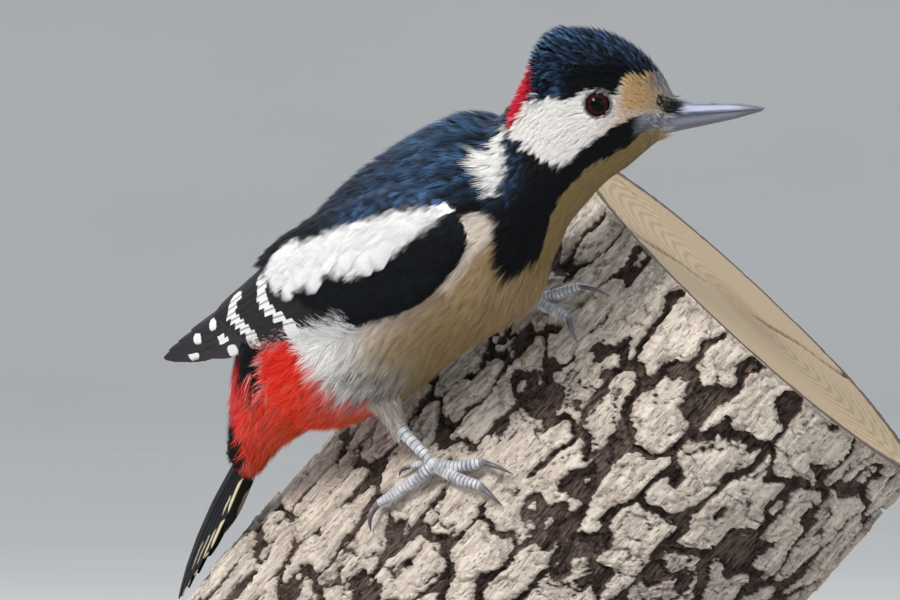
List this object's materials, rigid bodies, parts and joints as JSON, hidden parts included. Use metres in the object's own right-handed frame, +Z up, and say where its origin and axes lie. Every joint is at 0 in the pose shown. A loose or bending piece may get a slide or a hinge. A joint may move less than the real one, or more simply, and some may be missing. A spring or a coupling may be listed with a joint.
{
  "type": "great spotted woodpecker model",
  "caption": "Life-size still model of a black, white and red woodpecker clinging to a cut length of tree trunk on a round display stand.",
  "frame": {"origin": "centre of the underside of the stand's base, on the surface it stands on", "axes": "+Z up, +X the way the bill points, +Y from the viewer's side to the far side"},
  "size_m": [0.202, 0.202, 0.1922],
  "materials": {
    "bill_horn": "satin horn, slate grey",
    "claw_horn": "satin horn, dark grey",
    "eye": "wet, red-brown iris and dark pupil",
    "leg_scales": "matt grey scales",
    "plumage_head": "soft, black with white cheek and red nape",
    "plumage_neck": "soft, black with a white side patch",
    "plumage_body": "soft, buff with white flank and red vent",
    "plumage_wing": "black with white patch and bars",
    "plumage_tail": "stiff, black with pale outer edges",
    "bark": "rough bark with sawn ends",
    "stand_wood": "satin varnish",
    "stand_steel": "satin"
  },
  "bodies": {
    "root": {"bill_lower": "bill_horn", "bill_upper": "bill_horn", "claw_left_fore": "claw_horn", "claw_left_hind": "claw_horn", "claw_left_inner": "claw_horn", "claw_left_outer": "claw_horn", "claw_right_fore": "claw_horn", "claw_right_hind": "claw_horn", "claw_right_inner": "claw_horn", "claw_right_outer": "claw_horn", "eye_left": "eye", "eye_right": "eye", "foot_left": "leg_scales", "foot_right": "leg_scales", "head": "plumage_head", "neck": "plumage_neck", "perch_trunk": "bark", "stand_base": "stand_wood", "stand_rod_fore": "stand_steel", "stand_rod_rear": "stand_steel", "tail": "plumage_tail", "tarsus_left": "leg_scales", "tarsus_right": "leg_scales", "thigh_left": "plumage_body", "thigh_right": "plumage_body", "trunk": "plumage_body", "wing_left": "plumage_wing", "wing_right": "plumage_wing"}
  },
  "joints": []
}
